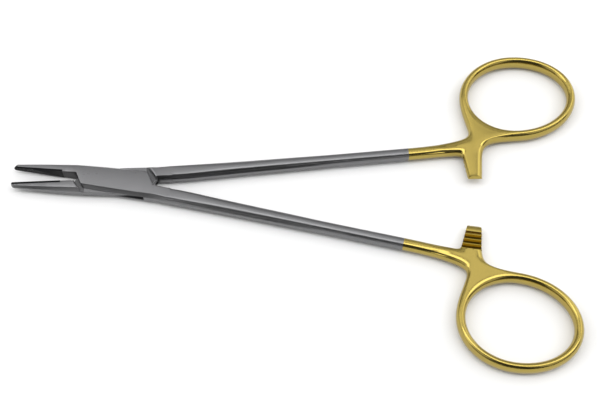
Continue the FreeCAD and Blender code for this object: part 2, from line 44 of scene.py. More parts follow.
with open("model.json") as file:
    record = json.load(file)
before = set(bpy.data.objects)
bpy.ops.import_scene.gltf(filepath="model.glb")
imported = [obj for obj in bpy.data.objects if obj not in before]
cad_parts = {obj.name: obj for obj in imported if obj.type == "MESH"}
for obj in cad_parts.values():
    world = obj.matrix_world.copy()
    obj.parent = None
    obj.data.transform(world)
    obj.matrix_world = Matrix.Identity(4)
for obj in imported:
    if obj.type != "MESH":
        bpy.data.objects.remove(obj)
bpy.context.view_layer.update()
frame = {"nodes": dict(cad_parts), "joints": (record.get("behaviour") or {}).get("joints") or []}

MM = 0.001
HINGE = frame["joints"][0]
REST_ANGLE = -math.radians(HINGE["range_deg"][0]) / 2
MIDDLE_HEIGHT = HINGE["pos_m"][2] / MM
SIDES = {"box_arm": -1, "pivot_pin": -1, "box_jaw_insert": -1, "tongue_arm": 1, "tongue_jaw_insert": 1}
BODIES = {"box_arm": "box_half", "tongue_arm": "tongue_half"}
# Material slots of an arm, after the first one, which is its satin steel. The milled and the notch slot
# hold steel darkened as painted shade
GOLD, MILLED, RATCHET, NOTCH = range(1, 5)

# The next tables run along the closed arm, and each row starts with its distance from the pivot.
# The tops of lock and jaw: their middle line, half width and depth of crown
TOPS = ((-27.4, -0.8, 0.8, 0.16), (-11.5, -1.3, 1.4, 0.16), (-8.0, 0.0, 3.0, 0.14), (8.0, 0.0, 3.1, 0.14),
        (15.0, 2.1, 1.9, 0.08))
# The shank: its full width, its half height, the depth of its crown, and how far its bevels reach across
# and down
WEB_START = 84.0
SHANK_WIDTHS = ((11.0, 3.85), (18.0, 4.15), (33.0, 3.6), (55.0, 3.12), (80.0, 3.0))
SHANK_HEIGHTS = ((11.0, 2.1), (18.0, 1.97), (33.0, 1.78), (55.0, 1.68), (WEB_START, 1.68))
SHANK_CROWNS = ((15.0, 0.08), (25.0, 0.13), (86.0, 0.13), (92.0, 0.0))
CHAMFERS = ((15.0, 0.68, 1.38), (20.0, 0.8, 1.38), (33.0, 0.9, 1.25), (50.0, 0.78, 1.1), (70.0, 0.7, 0.95),
            (86.0, 0.7, 0.9))

# The neck, between lock and shank: the distance where it ends, its length, and how far it leans outwards
NECK_END, NECK_RUN, NECK_LEAN = 18.0, 7.0, 0.254
# The web: the length over which the shank's height turns into its own, the place up to which it is level,
# and its middle. The rise to the ring starts at the first distance from that middle and takes the second
WEB_RUN = 7.0
WEB_END = (92.0, 10.5)
WEB_MIDDLE = (94.0, 10.0)
RING_RISE = (5.0, 8.0)
# Past this distance from the closing line, nothing is left of the shank's height
RING_SIDE = 15.0

# The cage of the handle, seen from above
SHANK_STATIONS = (12.0, 14.5, 18.0, 25.0, 33.0, 44.0, 55.0, 67.0, 75.0, 80.0)
WEB_ROWS = (((84.8, 6.5), (84.8, 9.6)), ((88.4, 6.72), (88.6, 10.4)))
WEB_POINTS = {"hollow": (90.72, 6.82), "flare": (93.15, 11.75), "left": (91.75, 18.6),
              "flank": (92.75, 14.9), "right": (96.35, 8.55), "right_flank": (98.4, 10.6),
              "middle": (95.2, 11.2)}
# The bar's near and far side, at distances from the closing line and then from the bar's end
BAR_ROWS = ((90.95, 95.93, 5.0), (91.3, 95.8, 2.6), (91.66, 95.62, 0.3))
BAR_END_ROWS = ((91.8, 95.5, 0.25), (91.95, 95.3, -0.08))
# The stretch along the arm that the cut for the teeth takes, and the place past which the bar lies
BAR_SPAN = (90.3, 96.3)
BAR_START = 90.0
# The plain end's rounded nose: distances from its tip and depths below the middle height
BAR_NOSE = ((0.0, 0.75), (0.35, 0.38), (0.8, 0.15))

# Grain of each surface
STEEL_GRAIN = {"scale": 900.0, "stretch": 5.0, "cloud": 0.4, "spread": 0.25, "bump": 0.5}
GOLD_GRAIN = {"scale": 500.0, "stretch": 1.0, "cloud": 0.6, "spread": 0.25, "bump": 0.12}
RATCHET_GRAIN = {**GOLD_GRAIN, "bump": 0.3}
INSERT_GRAIN = {"scale": 2500.0, "stretch": 1.0, "cloud": 0.3, "spread": 0.3, "bump": 0.6}

# The soft boxes of a light tent: azimuth and elevation in degrees, width, height and radiance
LAMPS = {
    "roof": (90, 91, 2.6, 0.48, 3.0),
    "high_back": (90, 64, 2.6, 0.3, 1.3),
    "low_back": (90, 42, 2.6, 0.38, 0.68),
    "rear": (90, 15, 2.6, 0.5, 0.45),
    "left": (180, 22, 1.2, 0.8, 0.9),
    "right": (25, 22, 1.0, 0.8, 1.2),
    "front_left": (217, 35, 0.8, 0.8, 0.7),
    "front_right": (-33, 35, 0.8, 0.8, 0.7),
}
STAGE_MIDDLE = Vector((0.05, 0, 0))


def length(name, value, description):
    """A length in millimetres, kept as a plain number."""
    return FloatProperty(name=name, description=description, default=value, min=0.0)


def angle(name, degrees, description):
    return FloatProperty(name=name, description=description, default=math.radians(degrees),
                         subtype="ANGLE", unit="ROTATION")


def colour(name, value, description):
    return FloatVectorProperty(name=name, description=description, subtype="COLOR", size=4,
                               default=(*value, 1.0), min=0.0, max=1.0)


def share(name, value, description):
    return FloatProperty(name=name, description=description, default=value, min=0.0, max=1.0)


class NEEDLE_PG_lock(bpy.types.PropertyGroup):
    """Sizes of the lock and the jaws that the scene adds to the CAD form, in millimetres."""

    merge: length("Merge", 0.05, "Points closer together than this become one")
    bevel: length("Bevel", 0.22, "Width of the rounded edges of the lock, twice that of the jaw's")
    bevel_angle: angle("Bevel angle", 25, "Edges sharper than this are rounded")
    pin_reach: length("Pin reach", 2.2, "Edges closer to the pivot than this stay sharp")
    jaw_start: length("Jaw start", 8.5, "Pivot to the place where the jaw's finer edges start")
    top: length("Top", 1.5, "Half height above which a face belongs to the top")
    milled_start: length("Milled band", 8.0, "Pivot to the start of the rough bands on the tongue")


class NEEDLE_PG_ring(bpy.types.PropertyGroup):
    """Sizes of a finger ring, in millimetres."""

    centre_x: length("Centre along", 106.7, "Pivot to the middle of the ring, along the closed tool")
    centre_y: length("Centre across", 24.18, "Closing line to the middle of the ring")
    half_length: length("Half length", 14.35, "Half length of the wire's middle line")
    half_width: length("Half width", 11.67, "Half width of the wire's middle line")
    egg: length("Egg", 0.86, "How far the widest place lies towards the pivot")
    tilt: angle("Tilt", 4.07, "Angle of the ring to the closing line")
    wire_width: length("Wire width", 2.4, "Width of the wire, seen from above")
    half_height: length("Half height", 2.0, "Half height of the wire")
    steps: IntProperty(name="Steps", description="Number of stretches round the ring", default=24, min=12)


class NEEDLE_PG_shank(bpy.types.PropertyGroup):
    """Sizes of a shank and its web, in millimetres."""

    offset: length("Offset", 0.86, "Where the shank's middle line would cross the pivot")
    slope: FloatProperty(name="Slope", description="Rise of the middle line for each unit of length",
                         default=0.0828)
    web_half_height: length("Web half height", 1.78, "Half height of the web and the ratchet bar")
    edge: length("Side half height", 0.86, "Half height of the upright sides")
    shoulder: length("Shoulder", 0.72, "How far the flat top lies inside the sides")
    joint: length("Joint", 15.0, "Pivot to the place where the shank grows out of the lock")
    tuck: length("Tuck", 0.03, "How far the shank's start lies inside the lock's surface")
    plating_start: length("Plating", 76.7, "Pivot to the edge of the gold plating, tongue arm")
    plating_start_box: length("Plating, box arm", 76.4, "Pivot to the edge of the plating, box arm")


class NEEDLE_PG_ratchet(bpy.types.PropertyGroup):
    """Sizes of the saw teeth, in millimetres."""

    overlap: length("Overlap", 0.75, "How far a closed bar passes the closing line")
    pitch: length("Pitch", 1.35, "Distance from tooth to tooth")
    crest: length("Crest", 0.3, "How far a tooth reaches past the middle height")
    root: length("Root", 0.4, "How deep the teeth are cut below the middle height")
    face: length("Face", 0.22, "Length of a tooth's steep face")
    flat: length("Flat", 0.18, "Length of the flat on a tooth's crest")
    land: length("Land", 1.8, "Length of the plain end of a bar")
    drop: length("Drop", 0.06, "How far the plain end stays below the middle height")
    step: length("Step", 0.3, "Lean of the step behind the teeth")
    gap: length("Gap", 0.12, "Flat between the last tooth and the step")
    shoulder: length("Shoulder", 0.45, "How far the bar's top lies inside its far side")
    end_bevel: length("End bevel", 0.2, "How far the bar's top ends before the bar does")
    count: IntProperty(name="Teeth", description="Number of teeth on a bar", default=4, min=1)


class NEEDLE_PG_insert(bpy.types.PropertyGroup):
    """Sizes of the cross hatching on the inserts, in millimetres."""

    pitch: length("Pitch", 0.42, "Distance from groove to groove")
    depth: length("Depth", 0.11, "Depth of a groove")
    land: length("Land", 0.12, "Flat left between two grooves")


class NEEDLE_PG_finish(bpy.types.PropertyGroup):
    """Colours and gloss of the surfaces."""

    steel: colour("Steel", (0.2, 0.2, 0.205), "Colour of the satin steel")
    gold: colour("Gold", (0.43, 0.33, 0.085), "Colour of the gold plating")
    ratchet: colour("Ratchet", (0.36, 0.26, 0.045), "Colour of the plating in the teeth")
    insert: colour("Insert", (0.013, 0.013, 0.014), "Colour of the hard inserts")
    floor: colour("Floor", (0.9, 0.9, 0.9), "Colour of the floor")
    room: colour("Room", (0.05, 0.05, 0.05), "Colour of the room beyond the lamps")
    # The milled bands have real milling marks, but their darker steel is painted shade of the tongue lying
    # low in the lock
    painted_milled_darkening: share("Milled shade", 0.5, "Brightness of the milled bands beside the steel's")
    # The gripping side's darker steel is painted shade: it faces the other jaw and the shadow between the
    # jaws
    painted_notch_darkening: share("Notch shade", 0.35, "Brightness of the bare gripping side beside the steel's")
    steel_roughness: share("Steel roughness", 0.34, "Roughness of the satin steel")
    gold_roughness: share("Gold roughness", 0.2, "Roughness of the gold plating")
    ratchet_roughness: share("Ratchet roughness", 0.3, "Roughness of the plating in the teeth")
    insert_roughness: share("Insert roughness", 0.45, "Roughness of the inserts")
    floor_roughness: share("Floor roughness", 0.9, "Roughness of the floor")


class NEEDLE_PG_stage(bpy.types.PropertyGroup):
    """The camera and the floor."""

    target: FloatVectorProperty(name="Target", description="The point that the camera looks at",
                                default=(0.048414, -0.002213, 0.0021), subtype="XYZ", unit="LENGTH")
    distance: FloatProperty(name="Distance", description="Camera to target", default=0.295864,
                            unit="LENGTH")
    elevation: angle("Elevation", 62.194, "Angle of the view above the floor")
    azimuth: angle("Azimuth", 7.194, "Turn of the view about the upright")
    roll: angle("Roll", -3.092, "Turn of the picture")
    focal: FloatProperty(name="Focal length", description="Focal length in millimetres on a 36 mm sensor",
                         default=68.84)
    floor_size: FloatProperty(name="Floor", description="Width of the floor", default=3.0, unit="LENGTH")


class NEEDLE_PG_settings(bpy.types.PropertyGroup):
    """All sizes and colours of the needle holder."""

    lock: PointerProperty(type=NEEDLE_PG_lock)
    ring: PointerProperty(type=NEEDLE_PG_ring)
    shank: PointerProperty(type=NEEDLE_PG_shank)
    ratchet: PointerProperty(type=NEEDLE_PG_ratchet)
    insert: PointerProperty(type=NEEDLE_PG_insert)
    finish: PointerProperty(type=NEEDLE_PG_finish)
    stage: PointerProperty(type=NEEDLE_PG_stage)


def settings():
    return bpy.context.scene.needle_holder


def between(stations, x):
    """Values at a distance from the pivot, from a row of stations."""
    for near, far in zip(stations, stations[1:]):
        if x <= far[0]:
            part = max(0.0, (x - near[0]) / (far[0] - near[0]))
            return [first + (second - first) * part for first, second in zip(near[1:], far[1:])]
    return stations[-1][1:]


def ramp(value, start, run):
    """How far a value is along a run, from 0 before its start to 1 past its end."""
    return min(1.0, max(0.0, (value - start) / run))


def choose(piece):
    """Selects one object alone and makes it the active one."""
    bpy.ops.object.select_all(action="DESELECT")
    piece.select_set(True)
    bpy.context.view_layer.objects.active = piece


@contextmanager
def editing(piece):
    """Edit mode on one piece, with all of it selected."""
    choose(piece)
    bpy.ops.object.mode_set(mode="EDIT")
    bpy.ops.mesh.select_all(action="SELECT")
    yield
    bpy.ops.object.mode_set(mode="OBJECT")


def face_outwards(piece):
    with editing(piece):
        bpy.ops.mesh.normals_make_consistent(inside=False)


def merge_close(piece, distance):
    """Merges points that lie closer together than a distance, so that edges can be rounded evenly."""
    with editing(piece):
        bpy.ops.mesh.remove_doubles(threshold=distance)


def sheet_piece(name, points, faces):
    """A flat sheet of faces, as a new object that is chosen."""
    mesh = bpy.data.meshes.new(name)
    mesh.from_pydata([tuple(point) for point in points], [], faces)
    piece = bpy.data.objects.new(name, mesh)
    bpy.context.scene.collection.objects.link(piece)
    choose(piece)
    return piece


def select_faces(piece, wanted):
    """In edit mode, selects the faces whose centre and normal pass the test."""
    bpy.ops.mesh.select_mode(type="FACE")
    bpy.ops.mesh.select_all(action="DESELECT")
    shape = bmesh.from_edit_mesh(piece.data)
    for face in shape.faces:
        if wanted(face.calc_center_median(), face.normal):
            face.select_set(True)
    bmesh.update_edit_mesh(piece.data)


def thicken(piece, move):
    """Extrudes a sheet into a closed block with its faces outwards."""
    with editing(piece):
        bpy.ops.mesh.extrude_region_move(TRANSFORM_OT_translate={"value": move})
    face_outwards(piece)


def apply_modifier(piece, kind, **values):
    """Adds a modifier to a piece, sets it up and applies it."""
    choose(piece)
    modifier = piece.modifiers.new(kind.lower(), kind)
    for key, value in values.items():
        setattr(modifier, key, value)
    bpy.ops.object.modifier_apply(modifier=modifier.name)


def combine(piece, tool, operation):
    """A boolean with a tool piece, which is used up."""
    apply_modifier(piece, "BOOLEAN", object=tool, operation=operation, solver="EXACT")
    bpy.data.objects.remove(tool)


def bench_matrix(side):
    """Row frame at rest, in metres, to the bench."""
    mirror = Matrix.Diagonal((1, side, 1, 1))
    close = Matrix.Rotation(-side * REST_ANGLE, 4, "Z")
    lower = Matrix.Translation((0, 0, -MIDDLE_HEIGHT))
    return mirror @ close @ lower @ Matrix.Scale(1 / MM, 4)


def move_piece(piece, matrix):
    """Moves a finished mesh and leaves its object at the origin, with its faces outwards."""
    choose(piece)
    piece.matrix_world = matrix
    bpy.ops.object.transform_apply(location=True, rotation=True, scale=True)
    if matrix.determinant() < 0:
        face_outwards(piece)


def bench_copy(node):
    """A merged copy of a CAD node's mesh, on the bench."""
    original = frame["nodes"][node]
    piece = bpy.data.objects.new(node + "_copy", original.data.copy())
    piece.data.materials.clear()
    bpy.context.scene.collection.objects.link(piece)
    merge_close(piece, 0.002 * MM)
    move_piece(piece, bench_matrix(SIDES[node]))
    with editing(piece):
        bpy.ops.mesh.dissolve_limited(angle_limit=math.radians(0.5))
    return piece


def cut_across(piece, wanted, places, across):
    """Cuts the wanted faces along a row of parallel planes."""
    for place in places:
        select_faces(piece, wanted)
        bpy.ops.mesh.bisect(plane_co=across * place, plane_no=across)


def crown(piece):
    """Rounds the flat tops a little: they sink towards their sides, as ground metal does."""
    top = settings().lock.top

    def is_top(centre, normal):
        return abs(normal.z) > 0.8 and abs(centre.z) > top

    with editing(piece):
        cut_across(piece, is_top, [step * 1.5 for step in range(-18, 10)], Vector((1, 0, 0)))
        cut_across(piece, is_top, [step * 0.5 for step in range(-7, 9)], Vector((0, 1, 0)))
    for vertex in piece.data.vertices:
        if abs(vertex.co.z) > top:
            vertex.co.z -= math.copysign(crown_depth(vertex.co.x, vertex.co.y), vertex.co.z)


def crown_depth(x, y):
    """How far a top sinks at a place."""
    middle, half, depth = between(TOPS, x)
    return depth * min(1.3, abs(y - middle) / half) ** 2


def crown_normals(piece, side):
    """Gives the rounded tops their true normals, so that no cut in the mesh shows in the gloss."""
    bench = bench_matrix(side)
    back = bench.inverted().to_3x3()
    turn = bench.to_3x3()
    mesh = piece.data
    normals = [corner.vector.copy() for corner in mesh.corner_normals]

    def true_normal(place, up):
        step = 0.05
        here = crown_depth(place.x, place.y)
        along = (crown_depth(place.x + step, place.y) - here) / step
        across = (crown_depth(place.x, place.y + step) - crown_depth(place.x, place.y - step)) / step / 2
        return Vector((along, across, up)).normalized()

    for face in mesh.polygons:
        centre = bench @ face.center
        facing = (turn @ face.normal).normalized()
        if centre.x > settings().shank.joint or abs(centre.z) < settings().lock.top:
            continue
        up = math.copysign(1.0, centre.z)
        if facing.dot(true_normal(centre, up)) > 0.99:
            for corner in face.loop_indices:
                place = bench @ mesh.vertices[mesh.loops[corner].vertex_index].co
                normals[corner] = (back @ true_normal(place, up)).normalized()
    mesh.normals_split_custom_set(normals)


def soften(piece):
    """Rounds the sharp outward edges, but not round the pin and at the cut where the shank joins."""
    lock = settings().lock
    joint = settings().shank.joint - 0.1
    piece.data.attributes.new("bevel_weight_edge", "FLOAT", "EDGE")
    shape = bmesh.new()
    shape.from_mesh(piece.data)
    layer = shape.edges.layers.float["bevel_weight_edge"]
    for edge in shape.edges:
        if len(edge.link_faces) == 2 and edge.is_convex and edge.calc_face_angle() > lock.bevel_angle:
            nearest = min(vertex.co.x for vertex in edge.verts)
            at_pin = max(math.hypot(vertex.co.x, vertex.co.y) for vertex in edge.verts) < lock.pin_reach
            edge[layer] = 0.0 if at_pin or nearest > joint else 0.5 if nearest < -lock.jaw_start else 1.0
    shape.to_mesh(piece.data)
    shape.free()
    apply_modifier(piece, "BEVEL", limit_method="WEIGHT", width=lock.bevel, segments=3,
                   use_clamp_overlap=False)
    for vertex in piece.data.vertices:
        vertex.co.z = min(MIDDLE_HEIGHT, max(-MIDDLE_HEIGHT, vertex.co.z))


def finish_piece(piece, node, smooth_angle):
    """Moves a bench piece to its place, smooths it and hides the CAD part of its node."""
    move_piece(piece, bench_matrix(SIDES[node]).inverted())
    choose(piece)
    bpy.ops.object.shade_smooth_by_angle(angle=math.radians(smooth_angle))
    apply_modifier(piece, "WEIGHTED_NORMAL", mode="FACE_AREA", keep_sharp=True)
    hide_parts(node)


def shank_sides(x):
    """The inner and the outer side of the shank at a distance from the pivot."""
    shank = settings().shank
    middle = shank.offset + shank.slope * x
    middle += max(0.0, (NECK_END - x) / NECK_RUN) * NECK_LEAN
    half = between(SHANK_WIDTHS, x)[0] / 2
    return middle - half, middle + half


def top_height(x, y):
    """Half height of the arm's back part over a place: it drops along the shank and rises to the ring."""
    web = settings().shank.web_half_height
    shank = between(SHANK_HEIGHTS, x)[0]
    if x < WEB_START:
        return shank
    if x < WEB_END[0] or y < WEB_END[1]:
        return shank + (web - shank) * ramp(x, WEB_START, WEB_RUN) if y < RING_SIDE else web
    # Rounding lowers the cage, so the wire's height is this much more
    wire = settings().ring.half_height * 1.02
    away = math.hypot(x - WEB_MIDDLE[0], y - WEB_MIDDLE[1])
    return web + (wire - web) * ramp(away, *RING_RISE)


def ring_loops():
    """The inner and the outer line of the ring's wire, from the near end towards the closing line."""
    ring = settings().ring
    turn = Matrix.Rotation(ring.tilt, 3, "Z")
    centre = Vector((ring.centre_x, ring.centre_y, 0))
    step = math.tau / ring.steps
    # Rounding draws a cage inwards, so the cage is this much larger
    gain = 6 / (4 + 2 * math.cos(step))
    loops = ([], [])
    for number in range(ring.steps):
        turned = step * (number + 1 / 3)
        along = -math.cos(turned)
        reach = ring.half_length - math.copysign(ring.egg, -along)
        for loop, offset in zip(loops, (-ring.wire_width / 2, ring.wire_width / 2)):
            place = Vector((along * (reach + offset) * gain - ring.egg,
                            -math.sin(turned) * (ring.half_width + offset) * gain, 0))
            loop.append(centre + turn @ place)
    return loops


def handle_plan():
    """Points and faces of the shank, web, ratchet bar and ring, seen from above."""
    points, faces = [], []

    def add(*places):
        first = len(points)
        points.extend(Vector((place[0], place[1], 0)) for place in places)
        return list(range(first, len(points)))

    def join(rows):
        for first, second in zip(rows, rows[1:]):
            faces.append((first[0], second[0], second[1], first[1]))

    inner, outer = (add(*loop) for loop in ring_loops())
    for index in range(len(inner)):
        after = (index + 1) % len(inner)
        faces.append((inner[index], outer[index], outer[after], inner[after]))
    left = outer[1]
    points[left] = Vector((*WEB_POINTS["left"], 0))
    shank_rows = [add(*((x, y) for y in shank_sides(x))) for x in SHANK_STATIONS]
    shank_rows += [add(*row) for row in WEB_ROWS]
    hollow, flare = add(WEB_POINTS["hollow"], WEB_POINTS["flare"])
    join([*shank_rows, (hollow, flare)])
    flank, right, right_flank, middle = add(
        *(WEB_POINTS[name] for name in ("flank", "right", "right_flank", "middle")))
    bar_end = -settings().ratchet.overlap
    rows = [*BAR_ROWS, *((near, far, bar_end + reach) for near, far, reach in BAR_END_ROWS)]
    join([(hollow, right), *(add((near, y), (far, y)) for near, far, y in rows)])
    faces += [(flare, hollow, right, middle), (middle, right, right_flank, outer[5]),
              (middle, outer[5], outer[4], outer[3]), (middle, outer[3], outer[2], left),
              (middle, left, flank, flare)]
    return points, faces


def shape_cage(piece):
    """Gives the cage its heights and bevels, and tucks its start into the lock."""
    shank, ratchet = settings().shank, settings().ratchet
    for vertex in piece.data.vertices:
        place = vertex.co
        low, high = shank_sides(min(place.x, SHANK_STATIONS[-1]))
        across, down = between(CHAMFERS, place.x)
        if abs(place.z) > shank.edge * 1.2:
            place.z = math.copysign(top_height(place.x, place.y), place.z)
            if place.x < 82.0:
                place.y = high - across if place.y > (low + high) / 2 else low + across
            elif place.x > 94.0 and place.y < 9.0:
                place.x -= ratchet.shoulder
            if place.x > BAR_START and place.y < 0.2:
                place.y = ratchet.end_bevel - ratchet.overlap
        elif place.x < BAR_START:
            place.z = math.copysign(top_height(place.x, place.y) - down, place.z)
        if place.x < shank.joint:
            place.y += shank.tuck * math.copysign(1.0, (low + high) / 2 - place.y)
            place.z -= shank.tuck * math.copysign(1.0, place.z)
        if place.x < shank.joint - 2:
            place.x = SHANK_STATIONS[0]


def crease_edges(piece, wanted, amount):
    """Holds the edges that pass the test sharper when the cage is rounded."""
    with editing(piece):
        bpy.ops.mesh.select_mode(type="EDGE")
        bpy.ops.mesh.select_all(action="DESELECT")
        shape = bmesh.from_edit_mesh(piece.data)
        for edge in shape.edges:
            if wanted(*(vertex.co for vertex in edge.verts)):
                edge.select_set(True)
        bmesh.update_edit_mesh(piece.data)
        bpy.ops.transform.edge_crease(value=amount)


def crease_cage(piece):
    """Keeps the bar's end and the shank's long edges firm, most of all where the shank starts."""

    def at_bar_end(first, second):
        return max(first.y, second.y) < -0.3 and min(first.x, second.x) > BAR_START

    def along(first, second, end):
        return max(first.x, second.x) < end and abs(first.x - second.x) > 1.5

    def along_top(first, second):
        return along(first, second, 86) and abs(first.z) > 1.0

    def along_rim(first, second):
        return along(first, second, 60) and 0.4 < abs(first.z) < 1.0

    def at_start(first, second):
        return along_top(first, second) and first.x < 20

    crease_edges(piece, at_bar_end, 0.5)
    crease_edges(piece, along_top, 0.5)
    crease_edges(piece, along_rim, 0.6)
    crease_edges(piece, at_start, 0.4)


def crown_handle(piece):
    """Rounds the shank's top a little, less towards the web."""
    for vertex in piece.data.vertices:
        x, y, z = vertex.co
        depth = between(SHANK_CROWNS, x)[0]
        if depth > 0.0 and abs(z) > 1.3:
            low, high = shank_sides(min(x, WEB_START))
            away = min(1.0, abs(y - (low + high) / 2) / ((high - low) / 2 - between(CHAMFERS, x)[0]))
            vertex.co.z -= math.copysign(depth * away ** 2, z)


def make_handle(name):
    """The shank, web, bar and ring in one smooth form, made from a cage of large faces."""
    shank = settings().shank
    points, faces = handle_plan()
    piece = sheet_piece(name, [point - Vector((0, 0, shank.edge)) for point in points], faces)
    thicken(piece, (0, 0, 2 * shank.edge))
    with editing(piece):
        for up in (1, -1):
            select_faces(piece, lambda centre, normal: up * normal.z > 0.9 and up * centre.z > 0)
            bpy.ops.mesh.inset(thickness=shank.shoulder, depth=1.0, use_even_offset=True)
    shape_cage(piece)
    crease_cage(piece)
    apply_modifier(piece, "SUBSURF", levels=3, render_levels=3)
    crown_handle(piece)
    return piece


def tooth_outline(up):
    """The saw teeth from the side: pairs of distance from the closing line and height."""
    ratchet = settings().ratchet
    first = ratchet.land - ratchet.overlap
    root = -up * ratchet.root
    tip = -ratchet.overlap
    end = tip - 1.0
    outline = [(end, -up * 1.0)]
    outline += [(tip + run, -up * depth) for run, depth in BAR_NOSE]
    outline += [(tip + 1.3, -up * ratchet.drop), (first, -up * ratchet.drop)]
    for index in range(ratchet.count):
        outline.append((first + index * ratchet.pitch, root))
        steep = first + (index + 1) * ratchet.pitch - ratchet.face
        outline += [(steep - ratchet.flat, up * ratchet.crest), (steep, up * ratchet.crest)]
    last = first + ratchet.count * ratchet.pitch
    step = last + ratchet.gap
    beyond = up * (settings().shank.web_half_height + 1.0)
    outline += [(last, root), (step, root), (step + ratchet.step, beyond), (end, beyond)]
    return outline


def cut_teeth(piece, up):
    """Cuts the saw teeth across the ratchet bar."""
    left, right = BAR_SPAN
    points = [(left, y, z) for y, z in tooth_outline(up)]
    cutter = sheet_piece("tooth_cutter", points, [tuple(range(len(points)))])
    thicken(cutter, (right - left, 0, 0))
    combine(piece, cutter, "DIFFERENCE")


def is_tooth(face, up):
    """Whether a face lies on the saw teeth or on the step behind them."""
    ratchet = settings().ratchet
    left, right = BAR_SPAN
    first = ratchet.land - ratchet.overlap
    last = first + ratchet.count * ratchet.pitch + ratchet.gap + ratchet.step
    x, y, z = face.center
    inside = left < x < right and first - 0.05 < y < last and -0.45 < up * z < 1.4
    return inside and abs(face.normal.x) < 0.2


def is_tongue_face(centre, normal):
    """Whether a face is one of the two flat faces of the tongue."""
    return abs(normal.z) > 0.9 and 0.6 < abs(centre.z) < 0.8


def is_notch(face):
    """Whether a face lies in the jaw's gripping side, behind the insert."""
    x, y, z = face.center
    return face.normal.y > 0.7 and x < -7.5 and -2.0 < y < 0.5 and abs(z) < 1.9


def mill_bands(piece):
    """Cuts the tongue's faces where the rough milled bands at its shoulders end."""
    start = settings().lock.milled_start
    with editing(piece):
        cut_across(piece, is_tongue_face, (-start, start), Vector((1, 0, 0)))


def make_arm(node, up, plating_start):
    """An arm: lock and jaw from its CAD form, with the smooth shank and handle grown on to it."""
    lock, shank = settings().lock, settings().shank
    piece = bench_copy(node)
    with editing(piece):
        bpy.ops.mesh.bisect(plane_co=(shank.joint, 0, 0), plane_no=(1, 0, 0), use_fill=True,
                            clear_outer=True)
    merge_close(piece, lock.merge)
    soften(piece)
    crown(piece)
    if node == "tongue_arm":
        mill_bands(piece)
    handle = make_handle("handle")
    cut_teeth(handle, up)
    combine(piece, handle, "UNION")
    across = Vector((1, shank.slope, 0)).normalized()
    edge = Vector((plating_start, shank.offset + shank.slope * plating_start, 0))
    with editing(piece):
        bpy.ops.mesh.bisect(plane_co=edge, plane_no=across)
    for material in (steel_material(), gold_material(), milled_painted_shade_material(), ratchet_material(),
                     gripping_side_painted_shade()):
        piece.data.materials.append(material)
    for face in piece.data.polygons:
        if is_tooth(face, up):
            face.material_index = RATCHET
        elif (face.center - edge).dot(across) > 0:
            face.material_index = GOLD
        # Partly painted shade: the tongue's milled bands get a darkened steel as well as their milling
        # marks
        elif abs(face.center.x) > lock.milled_start and is_tongue_face(face.center, face.normal):
            face.material_index = MILLED
        # Painted shade: the gripping side behind the insert gets a darkened copy of the steel
        elif is_notch(face):
            face.material_index = NOTCH
    piece.name = node + "_forging"
    finish_piece(piece, node, 32)
    crown_normals(piece, SIDES[node])
    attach(piece, BODIES[node])
    return piece


def groove_cutter(low, high, lean):
    """A row of three sided bars that lean one way across the gripping face of a box."""
    sizes = settings().insert
    margin, rise = 0.5, 0.2
    height = high.z - low.z
    half = (sizes.pitch - sizes.land) / 2
    points, faces = [], []
    for index in range(int((high.x - low.x + height) / sizes.pitch)):
        foot = low.x - height / 2 + (index + 0.5) * sizes.pitch
        first = len(points)
        for z in (low.z - margin, high.z + margin):
            x = foot + lean * z
            points += [(x - half, high.y + rise, z), (x + half, high.y + rise, z),
                       (x, high.y - sizes.depth, z)]
        faces += [(first, first + 1, first + 2), (first + 5, first + 4, first + 3)]
        for one, two in ((0, 1), (1, 2), (2, 0)):
            faces.append((first + two, first + one, first + one + 3, first + two + 3))
    cutter = sheet_piece("groove_cutter", points, faces)
    face_outwards(cutter)
    return cutter


def make_insert(node, body):
    """A hard insert, with fine cross hatching cut into its gripping face."""
    piece = bench_copy(node)
    corners = [vertex.co for vertex in piece.data.vertices]
    low = Vector(min(corner[axis] for corner in corners) for axis in range(3))
    high = Vector(max(corner[axis] for corner in corners) for axis in range(3))
    for lean in (1, -1):
        combine(piece, groove_cutter(low, high, lean), "DIFFERENCE")
    piece.data.materials.clear()
    piece.data.materials.append(insert_material())
    piece.name = node + "_hatched"
    finish_piece(piece, node, 30)
    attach(piece, body)
    return piece


def node_at(tree, kind, **values):
    """Adds a shader node to the right of the others and sets its named inputs."""
    node = tree.nodes.new(kind)
    node.location = (220 * len(tree.nodes), 0)
    for key, value in values.items():
        node.inputs[key.replace("_", " ")].default_value = value
    return node


